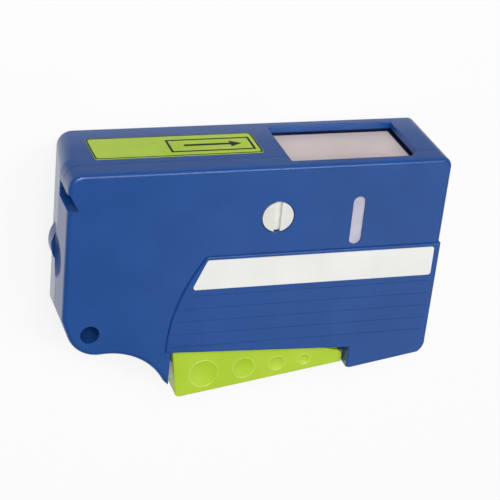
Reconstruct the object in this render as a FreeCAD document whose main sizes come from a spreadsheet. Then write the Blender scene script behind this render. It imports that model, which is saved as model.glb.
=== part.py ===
import FreeCAD, Part
import math
import os
import re
import Sketcher

# Fibre optic cleaning cassette, lying on its back: +X along the top edge, +Y to the top face, +Z out of the front.
# Lengths are millimetres. Places "from_left", "from_right" and "from_top" run from the ends and the top of the case.

doc = FreeCAD.newDocument("CleaningCassette")

sizes = {
    # Case outline
    "case_length": 116.0,
    "case_depth": 31.8,
    "wall": 2.0,
    "front_wall": 2.3,
    "left_wall": 5.2,
    "top_left_round": 4.5,
    "top_right_round": 3.0,
    "right_lean": 0.7,
    "edge_round": 1.4,
    "heel_corner_from_top": 61.5,
    "heel_end_from_right": 2.8,
    "heel_end_from_top": 66.0,
    "heel_corner_round": 4.5,
    "heel_tip_from_right": 24.7,
    "heel_tip_from_top": 69.7,
    "heel_side_from_right": 26.0,
    "heel_side_from_top": 69.4,
    "lower_edge_right_from_top": 62.3,
    "lower_edge_left_from_top": 59.4,
    "beak_from_left": 33.3,
    "beak_from_top": 70.8,
    "beak_width": 1.6,
    "scallop_from_left": 14.0,
    "scallop_from_top": 79.0,
    "scallop_radius": 20.1,
    "corner_from_left": 11.3,
    "corner_from_top": 49.2,
    "corner_slope": 20.0,
    # Left end: slanted back part, finger dish with its catch, pry notch
    "end_slant": 3.1,
    "crease_depth": 12.0,
    "dish_from_top": 30.9,
    "dish_radius": 6.6,
    "dish_depth": 3.4,
    "catch_rise": 0.1,
    "catch_radius": 9.5,
    "catch_level": 9.0,
    "catch_width": 4.6,
    "catch_root": 4.4,
    "notch_from_top": 6.2,
    "notch_bottom_from_top": 11.1,
    "notch_depth": 3.2,
    "notch_lip": 0.6,
    "notch_length": 11.2,
    # Parting of the front cover and the back shell
    "cover_depth": 6.8,
    "skirt_from_top": 9.0,
    "parting_gap": 0.2,
    # Openings of the case
    "window_from_right": 9.5,
    "window_length": 40.0,
    "window_back_wall": 3.8,
    "window_front": 3.6,
    "window_corner": 2.7,
    "rim_round": 0.35,
    "disc_from_left": 62.7,
    "disc_from_top": 16.3,
    "disc_radius": 4.75,
    "disc_gap": 0.3,
    "slot_from_right": 28.2,
    "slot_from_top": 11.0,
    "slot_length": 15.9,
    "slot_width": 3.9,
    "slot_window_thick": 1.2,
    "slot_window_recess": 0.7,
    "strap_from_left": 8.35,
    "strap_from_top": 51.5,
    "strap_radius": 2.85,
    "strap_wall": 2.0,
    # Raised grip panel with its grooves, strip and label
    "panel_from_left": 42.6,
    "panel_from_top": 27.8,
    "panel_round": 3.0,
    "panel_foot_from_left": 31.6,
    "panel_arc": 52.0,
    "panel_rise": 0.7,
    "panel_edge_round": 0.45,
    "groove_first_from_top": 40.4,
    "groove_pitch": 4.25,
    "groove_width": 0.35,
    "groove_depth": 0.15,
    "groove_inset": 1.3,
    "groove_bow": 1.6,
    "groove_end_inset": 1.8,
    "strip_from_top": 28.8,
    "strip_bottom_from_top": 38.35,
    "strip_top_from_left": 42.2,
    "strip_foot_from_left": 38.0,
    "strip_end_inset": 1.7,
    "strip_round": 0.8,
    "strip_thick": 0.2,
    "label_from_left": 9.5,
    "label_window_gap": 6.6,
    "label_width": 14.2,
    "label_front": 9.9,
    "label_round": 1.0,
    "label_thick": 0.15,
    # Lever
    "hinge_from_right": 28.7,
    "hinge_from_top": 67.4,
    "knuckle_radius": 2.33,
    "lever_tip_from_top": 77.4,
    "lever_tip_from_left": 36.6,
    "lever_tip_round": 1.6,
    "lever_top_from_left": 34.7,
    "lever_top_from_top": 60.3,
    "lever_shoulder_reach": 7.3,
    "lever_shoulder_from_top": 63.0,
    "lever_level": 2.6,
    "lever_back_plate": 1.6,
    "lever_front_plate": 1.8,
    "lever_front_gap": 0.6,
    "lever_skin": 1.8,
    "lever_skin_end_reach": 4.8,
    "lever_wall_from_top": 66.2,
    "knuckle_level": 8.4,
    "ear_radius": 2.0,
    "ear_level": 6.0,
    "cover_ear_rise": 1.6,
    "ear_thick": 2.0,
    "ear_gap": 0.4,
    "pin_radius": 1.2,
    "running_gap": 0.05,
    "dimple_depth": 0.5,
    "lever_edge_round": 0.4,
    # Leaf spring of the lever
    "spring_level": 9.0,
    "spring_width": 11.0,
    "spring_thick": 0.6,
    "spring_hook": 3.2,
    "spring_touch_from_left": 58.0,
    "seat_gap": 0.1,
    # Gear train
    "gear_level": 4.4,
    "gear_thick": 1.2,
    "drive_teeth": 16,
    "drive_sector_teeth": 98,
    "arm_teeth": 14,
    "arm_sector_teeth": 72,
    "arm_module": 0.8,
    "arm_pivot_reach": 26.0,
    "arm_level": 3.0,
    "arm_thick": 1.0,
    "arm_pin_from_top": 6.9,
    "arm_width": 3.4,
    "arm_pin_radius": 1.0,
    "arm_post_radius": 1.5,
    "squeeze": 11.0,
    "pressure_angle": 20.0,
    "tooth_gap": 0.12,
    "tooth_root": 1.05,
    "tooth_tip": 0.8,
    "spindle_radius": 2.5,
    "disc_thick": 2.8,
    "disc_recess": 0.1,
    "coin_slot_width": 1.9,
    "coin_slot_depth": 1.3,
    "ratchet_level": 5.7,
    "ratchet_thick": 0.9,
    "ratchet_teeth": 12,
    "ratchet_radius": 4.7,
    "ratchet_tooth": 0.7,
    "pawl_thick": 0.55,
    "pawl_foot": 1.2,
    "ring_module": 1.0,
    "ring_teeth": 48,
    "pinion_teeth": 23,
    "ring_level": 8.5,
    "ring_thick": 1.0,
    # Gear plate, reels and tape
    "plate_level": 7.0,
    "plate_thick": 1.2,
    "plate_gap": 0.8,
    "plate_rail_from_top": 3.75,
    "plate_foot_from_top": 46.2,
    "plate_lobe_from_top": 60.5,
    "plate_lobe_from_right": 17.5,
    "screw_radius": 1.25,
    "screw_head_radius": 2.2,
    "screw_head": 1.2,
    "screw_length": 5.5,
    "boss_radius": 2.8,
    "screw_one_from_left": 9.8,
    "screw_one_from_top": 9.0,
    "screw_two_from_right": 11.0,
    "screw_two_from_top": 56.5,
    "screw_three_from_right": 7.0,
    "screw_three_from_top": 18.0,
    "take_up_from_left": 30.5,
    "supply_from_right": 28.3,
    "supply_from_top": 33.0,
    "post_radius": 3.0,
    "post_tip_gap": 0.3,
    "hub_radius": 7.0,
    "reel_level": 9.8,
    "flange_thick": 0.8,
    "supply_flange_rim": 0.8,
    "take_up_flange_radius": 17.5,
    "supply_roll_room": 7.37,
    "supply_roll_top": 12.8,
    "take_up_roll_radius": 12.0,
    "felt_radius": 6.0,
    "tape_level": 10.8,
    "tape_front_gap": 1.1,
    "tape_thick": 0.25,
    "roller_radius": 2.5,
    "roller_from_top": 8.1,
    "roller_left_from_left": 47.5,
    "roller_right_from_right": 6.4,
    "roller_pin_radius": 1.0,
    "roller_over": 0.2,
    "pad_window_gap": 3.5,
    "pad_roller_gap": 4.1,
    "pad_thick": 2.4,
    "pad_round": 1.0,
    "holder_thick": 1.6,
    "holder_over": 1.5,
    # Shutter
    "shutter_from_top": 3.0,
    "shutter_thick": 0.6,
    "shutter_over": 1.6,
    "shutter_side_gap": 0.3,
    "shutter_panel_rise": 0.4,
    "shutter_panel_near_gap": 0.3,
    "shutter_panel_far_gap": 0.9,
    "shutter_panel_round": 0.2,
    "tab_level": 2.2,
    "tab_width": 6.0,
    "tab_edge": 1.4,
    "tab_slot_play": 0.4,
    "rail_gap": 0.15,
    "rail_width": 0.8,
    "rail_thick": 1.0,
}

# Four dimples of the lever: share of the lever's length from the hinge, from_top and radius of each
dimples = {
    "dimple_one": (0.832, 69.7, 4.55),
    "dimple_two": (0.582, 68.85, 3.5),
    "dimple_three": (0.373, 68.1, 2.45),
    "dimple_four": (0.199, 67.5, 1.85),
}
for dimple, (share, from_top, radius) in dimples.items():
    sizes[dimple + "_share"] = share
    sizes[dimple + "_from_top"] = from_top
    sizes[dimple + "_radius"] = radius

# Places and lengths that follow from the sizes
follows = {
    "heel_end_from_left": "(case_length - heel_end_from_right)",
    "heel_tip_from_left": "(case_length - heel_tip_from_right)",
    "heel_side_from_left": "(case_length - heel_side_from_right)",
    "hinge_from_left": "(case_length - hinge_from_right)",
    "lever_shoulder_from_left": "(hinge_from_left - lever_shoulder_reach)",
    "lever_skin_end_from_left": "(hinge_from_left - lever_skin_end_reach)",
    "arm_pivot_from_left": "(hinge_from_left - arm_pivot_reach)",
    "knuckle_length": "(case_depth - crease_depth + cover_ear_rise - ear_gap - knuckle_level)",
    "window_from_left": "(case_length - window_from_right - window_length)",
    "label_length": "(window_from_left - label_window_gap - label_from_left)",
    "slot_from_left": "(case_length - slot_from_right)",
    "plate_lobe_from_left": "(case_length - plate_lobe_from_right)",
    "screw_two_from_left": "(case_length - screw_two_from_right)",
    "screw_three_from_left": "(case_length - screw_three_from_right)",
    "supply_from_left": "(case_length - supply_from_right)",
    "supply_span": "sqrt((supply_from_left - disc_from_left)^2 + (supply_from_top - disc_from_top)^2)",
    "supply_roll_radius": "min(supply_span - spindle_radius - supply_roll_room; supply_from_top - supply_roll_top)",
    "supply_flange_radius": "(supply_roll_radius + supply_flange_rim)",
    "tape_width": "(case_depth - front_wall - tape_front_gap - tape_level)",
    "roller_right_from_left": "(case_length - roller_right_from_right)",
    "pad_from_left": "(window_from_left + pad_window_gap)",
    "pad_length": "(roller_right_from_left - roller_radius - pad_roller_gap - pad_from_left)",
}
for dimple in dimples:
    follows[dimple + "_from_left"] = (
        f"(hinge_from_left - {dimple}_share * (hinge_from_left - lever_tip_from_left))"
    )

sheet = doc.addObject("Spreadsheet::Sheet", "Sizes")
for row, (size_name, number) in enumerate(sizes.items(), start=1):
    sheet.set(f"A{row}", size_name)
    sheet.set(f"B{row}", str(number))
    sheet.setAlias(f"B{row}", size_name)
doc.recompute()

nodes = []
screws = ("screw_one", "screw_two", "screw_three")


def bound(text):
    """Expression of the sheet's aliases, with what follows from them written out."""
    for name, formula in reversed(follows.items()):
        text = re.sub(rf"\b{name}\b", formula, text)
    return re.sub(r"[a-z]\w*", lambda word: "Sizes." + word[0] if word[0] in sizes else word[0], text)


def value(text):
    """Number that an expression of sizes has now."""
    number = sheet.evalExpression(bound(text))
    return float(getattr(number, "Value", number))


# Origin of the local places: left end, top face and back face of the case
origin_x = "-(case_length - catch_rise) / 2"
origin_y = "lever_tip_from_top / 2"


def place(item, across="0", up="0", level="0"):
    """Binds an object's place to sizes, from the left end, the top face and the back face of the case."""
    item.setExpression("Placement.Base.x", bound(f"{origin_x} + {across}"))
    item.setExpression("Placement.Base.y", bound(f"{origin_y} + {up}"))
    item.setExpression("Placement.Base.z", bound(level))


def new_body(name):
    body = doc.addObject("PartDesign::Body", name)
    body.Label = name
    place(body)
    nodes.append(body)
    return body


def new_sketch(body, name, level="0", plane="XY_Plane"):
    item = body.newObject("Sketcher::SketchObject", name)
    support = [feature for feature in body.Origin.OriginFeatures if feature.Role == plane]
    item.AttachmentSupport = [(support[0], "")]
    item.MapMode = "FlatFace"
    item.setExpression("AttachmentOffset.Base.z", bound(level))
    return item


def fix(item, kind, text, *target):
    """Adds a dimension to a sketch and binds it to an expression of sizes."""
    index = item.addConstraint(Sketcher.Constraint(kind, *target, value(text)))
    item.setExpression(f"Constraints[{index}]", bound(text))


def outline(item, corners):
    """Closed outline: each corner is (x, y), or (x, y, radius, turn) where an arc runs on to the next corner."""
    points = [FreeCAD.Vector(value(corner[0]), value(corner[1]), 0) for corner in corners]
    first = item.GeometryCount
    ends = []
    for index, corner in enumerate(corners):
        start = points[index]
        finish = points[(index + 1) % len(points)]
        if len(corner) == 2:
            item.addGeometry(Part.LineSegment(start, finish))
            ends.append((1, 2))
            continue
        radius = value(corner[2])
        sign = 1 if corner[3] == "left" else -1
        chord = finish - start
        rise = math.sqrt(max(radius**2 - (chord.Length / 2) ** 2, 0))
        normal = FreeCAD.Vector(-chord.y, chord.x, 0).normalize() * sign
        centre = (start + finish) * 0.5 + normal * rise
        low, high = (start, finish) if sign > 0 else (finish, start)
        angles = [math.atan2(point.y - centre.y, point.x - centre.x) for point in (low, high)]
        circle = Part.Circle(centre, FreeCAD.Vector(0, 0, 1), radius)
        item.addGeometry(Part.ArcOfCircle(circle, angles[0], angles[1]))
        ends.append((1, 2) if sign > 0 else (2, 1))
    for index, corner in enumerate(corners):
        following = (index + 1) % len(corners)
        item.addConstraint(
            Sketcher.Constraint(
                "Coincident", first + index, ends[index][1], first + following, ends[following][0]
            )
        )
    for index, corner in enumerate(corners):
        fix(item, "DistanceX", corner[0], -1, 1, first + index, ends[index][0])
        fix(item, "DistanceY", corner[1], -1, 1, first + index, ends[index][0])
        if len(corner) > 2:
            fix_arc(item, corner, first + index, points[index], points[(index + 1) % len(points)])


def fix_arc(item, corner, index, start, finish):
    """Fixes an arc by its radius, or a half circle by its centre."""
    if value(corner[2]) - (finish - start).Length / 2 > 1e-6:
        fix(item, "Radius", corner[2], index)
    elif abs(finish.x - start.x) > abs(finish.y - start.y):
        fix(item, "DistanceY", corner[1], -1, 1, index, 3)
    else:
        fix(item, "DistanceX", corner[0], -1, 1, index, 3)


def rectangle(item, left, bottom, right, top):
    outline(item, [(left, bottom), (right, bottom), (right, top), (left, top)])


def circle(item, across, up, radius):
    index = item.GeometryCount
    centre = FreeCAD.Vector(value(across), value(up), 0)
    item.addGeometry(Part.Circle(centre, FreeCAD.Vector(0, 0, 1), value(radius)))
    fix(item, "DistanceX", across, -1, 1, index, 3)
    fix(item, "DistanceY", up, -1, 1, index, 3)
    fix(item, "Radius", radius, index)


def pad(body, item, length):
    feature = body.newObject("PartDesign::Pad", item.Name + "Pad")
    feature.Profile = item
    feature.setExpression("Length", bound(length))
    return feature


def pocket(body, item, length):
    """Cuts a sketch downwards from its level."""
    feature = body.newObject("PartDesign::Pocket", item.Name + "Pocket")
    feature.Profile = item
    feature.setExpression("Length", bound(length))
    return feature


def cut_down(body, item, length):
    """Cuts a sketch in the XZ plane downwards, away from the top face."""
    feature = pocket(body, item, length)
    feature.Reversed = True
    return feature


def round_edges(body, name, radius, wanted):
    """Rounds the edges of the body's last feature that the test wants."""
    doc.recompute()
    base = body.Tip
    edges = [f"Edge{i}" for i, edge in enumerate(base.Shape.Edges, start=1) if wanted(edge)]
    feature = body.newObject("PartDesign::Fillet", name)
    feature.Base = (base, edges)
    feature.setExpression("Radius", bound(radius))
    return feature


def cylinder(name, radius, length):
    item = doc.addObject("Part::Cylinder", name)
    item.setExpression("Radius", bound(radius))
    item.setExpression("Height", bound(length))
    return item


def tube(name, radius, bore, length, across, up, level):
    """Plain ring on an axis along Z."""
    item = doc.addObject("Part::Cut", name)
    item.Base = cylinder(name + "_outer", radius, length)
    item.Tool = cylinder(name + "_bore", bore, length)
    item.Label = name
    place(item, across, up, level)
    nodes.append(item)
    return item


def lies_at(edge, level):
    box = edge.BoundBox
    return abs(box.ZMin - level) < 1e-4 and abs(box.ZMax - level) < 1e-4


# Outline of the case, seen from the front, clockwise from the top left corner
corner_radius = (
    "(sqrt((scallop_from_left - corner_from_left)^2 + (scallop_from_top - corner_from_top)^2) - scallop_radius)"
)
tangent_share = f"(scallop_radius / (scallop_radius + {corner_radius}))"
tangent_x = f"scallop_from_left + (corner_from_left - scallop_from_left) * {tangent_share}"
tangent_y = f"-scallop_from_top + (scallop_from_top - corner_from_top) * {tangent_share}"
slope_x = f"(corner_from_left - {corner_radius} * cos(corner_slope))"
slope_y = f"(-corner_from_top - {corner_radius} * sin(corner_slope))"
beak_tip_x = "(beak_from_left - beak_width)"
beak_tip_y = "(-scallop_from_top + sqrt(scallop_radius^2 - (beak_from_left - beak_width - scallop_from_left)^2))"
heel_edge = [
    ("case_length - right_lean", "-heel_corner_from_top", "heel_corner_round", "right"),
    ("heel_end_from_left", "-heel_end_from_top"),
    ("heel_tip_from_left", "-heel_tip_from_top"),
    ("heel_side_from_left", "-heel_side_from_top"),
    ("heel_side_from_left", "-lower_edge_right_from_top"),
]
case_outline = [
    ("0", "-top_left_round", "top_left_round", "right"),
    ("top_left_round", "0"),
    ("case_length - top_right_round", "0", "top_right_round", "right"),
    ("case_length", "-top_right_round"),
    *heel_edge,
    ("beak_from_left", "-lower_edge_left_from_top"),
    ("beak_from_left", "-beak_from_top"),
    (beak_tip_x, beak_tip_y, "scallop_radius", "left"),
    (tangent_x, tangent_y, corner_radius, "right"),
    (slope_x, slope_y),
    ("0", f"{slope_y} + {slope_x} / tan(corner_slope)"),
]

# Hollow of the case: open below, between the beak and the heel, where the lever goes in
inner_scallop = "(scallop_radius + wall)"
inner_corner = f"({corner_radius} - wall)"
inner_tangent_share = f"({inner_scallop} / (scallop_radius + {corner_radius}))"
beak_wall_x = "(beak_from_left - wall)"
open_below = "-(lever_tip_from_top + wall)"
ring_reach = "ring_module * (ring_teeth / 2 + 2)"
take_up_y = (
    "(-disc_from_top - sqrt((ring_module * (ring_teeth + pinion_teeth) / 2)^2"
    " - (disc_from_left - take_up_from_left)^2))"
)
beak_wall_top = f"({take_up_y} - {ring_reach})"
heel_wall_top = "-(lower_edge_right_from_top - wall)"
hollow = [
    ("left_wall", "-wall"),
    ("case_length - wall", "-wall"),
    ("case_length - right_lean - wall", "-heel_corner_from_top + wall / 2"),
    ("heel_end_from_left - wall", "-heel_end_from_top + wall"),
    ("heel_side_from_left + wall", "-heel_side_from_top + wall"),
    ("heel_side_from_left + wall", heel_wall_top),
    ("heel_side_from_left", heel_wall_top),
    ("heel_side_from_left", open_below),
    ("beak_from_left", open_below),
    ("beak_from_left", beak_wall_top),
    (beak_wall_x, beak_wall_top),
    (
        beak_wall_x,
        f"-scallop_from_top + sqrt({inner_scallop}^2 - ({beak_wall_x} - scallop_from_left)^2)",
        inner_scallop,
        "left",
    ),
    (
        f"scallop_from_left + (corner_from_left - scallop_from_left) * {inner_tangent_share}",
        f"-scallop_from_top + (scallop_from_top - corner_from_top) * {inner_tangent_share}",
        inner_corner,
        "right",
    ),
    ("left_wall", f"-corner_from_top - sqrt({inner_corner}^2 - (corner_from_left - left_wall)^2)"),
]

top_parting = "(case_depth - cover_depth)"
skirt_parting = "(case_depth - crease_depth)"
above = "wall"
window_right = "(window_from_left + window_length)"


def cut_left_end(body):
    """Pry notch and finger dish at the left end, which cross the parting."""
    notch = new_sketch(body, body.Name + "_notch", "case_depth + panel_rise")
    outline(
        notch,
        [
            ("-wall", "-notch_from_top"),
            ("notch_lip", "-notch_from_top"),
            ("notch_depth", "-notch_bottom_from_top"),
            ("-wall", "-notch_bottom_from_top"),
        ],
    )
    pocket(body, notch, "notch_length + panel_rise")
    dish = body.newObject("PartDesign::SubtractiveSphere", body.Name + "_dish")
    ball = "((dish_radius^2 + dish_depth^2) / (2 * dish_depth))"
    dish.setExpression("Radius", bound(ball))
    dish.setExpression("Placement.Base.x", bound(f"dish_depth - {ball}"))
    dish.setExpression("Placement.Base.y", bound("-dish_from_top"))
    dish.setExpression("Placement.Base.z", bound("case_depth - crease_depth"))


def cut_window(body, corners):
    """Cuts the shutter's window, given in plan, through the top wall and rounds its rim."""
    opening = new_sketch(body, body.Name + "_window", plane="XZ_Plane")
    outline(opening, corners)
    cut_down(body, opening, "wall")
    round_edges(body, body.Name + "_window_round", "rim_round", is_window_rim)


def slot_outline(inset):
    """Upright slot with round ends, or the same a little smaller."""
    half = f"(slot_width / 2 - {inset})"
    top = "(-slot_from_top - slot_width / 2)"
    foot = "(-slot_from_top - slot_length + slot_width / 2)"
    return [
        (f"slot_from_left - {half}", foot, half, "left"),
        (f"slot_from_left + {half}", foot),
        (f"slot_from_left + {half}", top, half, "left"),
        (f"slot_from_left - {half}", top),
    ]


def add_strap_tube(body, level, length):
    """Tube of the strap hole, from one wall to the parting."""
    boss = new_sketch(body, body.Name + "_strap_boss", level)
    circle(boss, "strap_from_left", "-strap_from_top", "strap_radius + strap_wall")
    pad(body, boss, length)
    hole = new_sketch(body, body.Name + "_strap_hole", "case_depth + panel_rise")
    circle(hole, "strap_from_left", "-strap_from_top", "strap_radius")
    pocket(body, hole, "case_depth + panel_rise")


def add_ear(body, level):
    """Ear on the heel that holds one end of the lever's pin."""
    ear = new_sketch(body, body.Name + "_ear", level)
    reach = "sqrt(ear_radius^2 - (ear_radius / 2)^2)"
    outline(
        ear,
        [
            ("heel_side_from_left + wall / 2", "-hinge_from_top + ear_radius / 2"),
            (f"hinge_from_left + {reach}", "-hinge_from_top + ear_radius / 2"),
            ("hinge_from_left", "-hinge_from_top + ear_radius", "ear_radius", "left"),
            ("hinge_from_left", "-hinge_from_top - ear_radius"),
            (f"hinge_from_left + {reach}", "-hinge_from_top - ear_radius / 2"),
            ("heel_side_from_left + wall / 2", "-hinge_from_top - ear_radius / 2"),
        ],
    )
    pad(body, ear, "ear_thick")
    bore = new_sketch(body, body.Name + "_ear_bore", f"{level} + ear_thick")
    circle(bore, "hinge_from_left", "-hinge_from_top", "pin_radius")
    pocket(body, bore, "ear_thick")


def is_outer_edge(level):
    """Test for the outline's edges at one level, away from the lever's opening and the beak."""

    def wanted(edge):
        middle = edge.CenterOfMass
        beside_lever = (
            value("beak_from_left - beak_width - parting_gap") < middle.x < value("heel_side_from_left + wall / 2")
            and middle.y < value("-lower_edge_left_from_top + wall / 2")
        )
        return lies_at(edge, level) and not beside_lever

    return wanted


def is_top_left_edge(edge):
    """Test for the edges between the top face and the left end, along the depth."""
    middle = edge.CenterOfMass
    return abs(middle.y) < 1e-4 and middle.x < value("end_slant") and edge.BoundBox.ZLength > value("wall")


def is_window_rim(edge):
    """Test for the window's edges in the top face."""
    box = edge.BoundBox
    inside = box.XMin > value("window_from_left - rim_round") and box.XMax < value("case_length - wall")
    at_parting = lies_at(edge, value(top_parting)) or lies_at(edge, value(f"{top_parting} - parting_gap"))
    return abs(box.YMin) < 1e-4 and abs(box.YMax) < 1e-4 and inside and not at_parting


# Back shell: deep tray with a slanted left end, bosses for the gear plate and the arm's post
back_shell = new_body("back_shell")
tray = new_sketch(back_shell, "back_tray")
outline(tray, [("0", "0"), *case_outline[2:]])
pad(back_shell, tray, f"{top_parting} - parting_gap")
slant = new_sketch(back_shell, "back_slant", plane="XZ_Plane")
outline(
    slant,
    [
        ("-wall", "-wall"),
        (f"end_slant * (1 + wall / {skirt_parting})", "-wall"),
        ("0", skirt_parting),
        ("-wall", skirt_parting),
    ],
)
cut_down(back_shell, slant, "lever_tip_from_top")
round_edges(back_shell, "back_corner_round", "top_left_round", is_top_left_edge)
round_edges(back_shell, "back_edge_round", "edge_round", is_outer_edge(0))
catch = new_sketch(back_shell, "back_catch", "catch_level")
catch_half = "sqrt(catch_radius^2 - (catch_radius - catch_rise - catch_root)^2)"
outline(
    catch,
    [
        ("catch_root", f"-dish_from_top + {catch_half}", "catch_radius", "left"),
        ("catch_root", f"-dish_from_top - {catch_half}"),
    ],
)
pad(back_shell, catch, "catch_width")
hollow_back = new_sketch(back_shell, "back_hollow", "case_depth")
outline(hollow_back, hollow)
pocket(back_shell, hollow_back, "case_depth - wall")
skirt_step = new_sketch(back_shell, "back_skirt_step", "case_depth")
rectangle(skirt_step, "-wall", open_below, "case_length + wall", "-skirt_from_top")
pocket(back_shell, skirt_step, f"case_depth - {skirt_parting} + parting_gap")
add_strap_tube(back_shell, "wall / 2", f"{skirt_parting} - parting_gap - wall / 2")
for screw in screws:
    boss = new_sketch(back_shell, screw + "_boss", "wall / 2")
    circle(boss, screw + "_from_left", f"-{screw}_from_top", "boss_radius")
    pad(back_shell, boss, "plate_level - wall / 2")
    hole = new_sketch(back_shell, screw + "_hole", "plate_level")
    circle(hole, screw + "_from_left", f"-{screw}_from_top", "screw_radius")
    pocket(back_shell, hole, "screw_length - plate_thick + seat_gap")
arm_pivot_y = (
    "(-hinge_from_top + sqrt((arm_module * (arm_teeth + arm_sector_teeth) / 2)^2"
    " - (hinge_from_left - arm_pivot_from_left)^2))"
)
arm_length = f"(-{arm_pivot_y} - arm_pin_from_top)"
arm_post = new_sketch(back_shell, "back_arm_post", "wall / 2")
circle(arm_post, "arm_pivot_from_left", arm_pivot_y, "arm_post_radius")
pad(back_shell, arm_post, "arm_level + arm_thick - wall / 2")
add_ear(back_shell, "ear_level")
cut_left_end(back_shell)
cut_window(
    back_shell,
    [
        ("window_from_left", "window_back_wall"),
        (window_right, "window_back_wall"),
        (window_right, "case_depth"),
        ("window_from_left", "case_depth"),
    ],
)

# Front cover: shallow lid with a deeper skirt below the pry notch, and the raised grip panel
front_cover = new_body("front_cover")
lid = new_sketch(front_cover, "cover_lid", skirt_parting)
outline(lid, case_outline)
pad(front_cover, lid, "crease_depth")
round_edges(front_cover, "cover_edge_round", "edge_round", is_outer_edge(value("case_depth")))
panel = new_sketch(front_cover, "cover_panel", "case_depth - edge_round")
panel_right = (
    "case_length - right_lean * (panel_from_top - top_right_round) / (heel_corner_from_top - top_right_round)"
)
panel_outline = [
    ("panel_from_left", "-panel_from_top"),
    (panel_right, "-panel_from_top"),
    *heel_edge,
    (
        "panel_foot_from_left",
        "-lower_edge_left_from_top",
        "panel_arc",
        "right",
    ),
    ("panel_from_left - panel_round / 2", "-panel_from_top - panel_round / 2", "panel_round", "right"),
]
outline(panel, panel_outline)
pad(front_cover, panel, "panel_rise + edge_round")
round_edges(
    front_cover,
    "cover_panel_round",
    "panel_edge_round",
    lambda edge: lies_at(edge, value("case_depth + panel_rise")),
)
hollow_front = new_sketch(front_cover, "cover_hollow", "case_depth - front_wall")
outline(hollow_front, hollow)
pocket(front_cover, hollow_front, "crease_depth")
top_step = new_sketch(front_cover, "cover_top_step", top_parting)
rectangle(top_step, "-wall", "-skirt_from_top - parting_gap", "case_length + wall", above)
pocket(front_cover, top_step, "crease_depth - cover_depth")
add_strap_tube(front_cover, skirt_parting, "crease_depth - front_wall / 2")
add_ear(front_cover, f"{skirt_parting} + cover_ear_rise")
rail = new_sketch(front_cover, "cover_rail", "case_depth - front_wall - rail_width")
rail_top = "-(shutter_from_top + shutter_thick + rail_gap)"
rectangle(rail, "left_wall", f"{rail_top} - rail_thick", "case_length - wall", rail_top)
pad(front_cover, rail, "rail_width + front_wall / 2")
cut_left_end(front_cover)
cut_window(
    front_cover,
    [
        ("window_from_left", skirt_parting),
        (window_right, skirt_parting),
        (window_right, top_parting),
        (f"{window_right} - window_corner", "case_depth - window_front"),
        ("window_from_left", "case_depth - window_front"),
    ],
)
disc_hole = new_sketch(front_cover, "cover_disc_hole", "case_depth + panel_rise")
circle(disc_hole, "disc_from_left", "-disc_from_top", "disc_radius + disc_gap")
pocket(front_cover, disc_hole, "front_wall + panel_rise + wall")
slot = new_sketch(front_cover, "cover_slot", "case_depth + panel_rise")
outline(slot, slot_outline("0"))
pocket(front_cover, slot, "front_wall + panel_rise + wall")
grooves = new_sketch(front_cover, "cover_grooves", "case_depth + panel_rise")
for index in range(5):
    middle = f"(-groove_first_from_top - {index} * groove_pitch)"
    left = (
        f"panel_foot_from_left + groove_inset + (panel_from_left - panel_foot_from_left)"
        f" * ((lower_edge_left_from_top + {middle}) / (lower_edge_left_from_top - panel_from_top))^groove_bow"
    )
    rectangle(
        grooves,
        left,
        f"{middle} - groove_width / 2",
        "case_length - right_lean - groove_end_inset",
        f"{middle} + groove_width / 2",
    )
pocket(front_cover, grooves, "groove_depth")

# Clear window in the cover's slot
slot_window = new_body("slot_window")
window_sheet = new_sketch(slot_window, "slot_window_sheet", "case_depth - slot_window_recess - slot_window_thick")
outline(window_sheet, slot_outline("running_gap"))
pad(slot_window, window_sheet, "slot_window_thick")

# Lever: two side plates, a skin below, an end wall and a knuckle on the pin
hinge_x = "hinge_from_left"
hinge_y = "(-hinge_from_top)"
tip_x = "(lever_tip_from_left + lever_tip_round)"
tip_y = "(-lever_tip_from_top + lever_tip_round)"
tip_span = f"sqrt(({hinge_x} - {tip_x})^2 + ({hinge_y} - {tip_y})^2)"
tip_normal = (
    f"(atan2({hinge_y} - {tip_y}; {hinge_x} - {tip_x}) - acos((lever_tip_round - knuckle_radius) / {tip_span}))"
)
lever_front = "(case_depth - front_wall - lever_front_gap)"
skin_slope = f"tan({tip_normal} + 90 deg)"
lever_foot = f"({tip_y} + lever_tip_round * sin({tip_normal}))"
lever_outline = [
    (
        f"{hinge_x} + knuckle_radius",
        f"{lever_foot} + {skin_slope} * ({hinge_x} + knuckle_radius - {tip_x} - lever_tip_round * cos({tip_normal}))",
    ),
    (f"{tip_x} + lever_tip_round * cos({tip_normal})", f"{tip_y} + lever_tip_round * sin({tip_normal})",
     "lever_tip_round", "right"),
    (f"{tip_x} - lever_tip_round", tip_y),
    ("lever_top_from_left", "-lever_top_from_top"),
    ("lever_shoulder_from_left", "-lever_shoulder_from_top"),
    (hinge_x, f"{hinge_y} + knuckle_radius", "knuckle_radius", "right"),
    (f"{hinge_x} + knuckle_radius", hinge_y),
]
lever = new_body("lever")
lever_block = new_sketch(lever, "lever_block", "lever_level")
outline(lever_block, lever_outline)
pad(lever, lever_block, f"{lever_front} - lever_level")
round_edges(lever, "lever_edge_round", "lever_edge_round", lambda edge: lies_at(edge, value(lever_front)))
skin_rise = f"(lever_skin / cos({tip_normal} + 90 deg))"
skin_foot = f"({lever_foot} + {skin_rise})"
room = new_sketch(lever, "lever_room", f"{lever_front} - lever_front_plate")
wall_end = "(lever_tip_from_left + lever_skin)"
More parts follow.
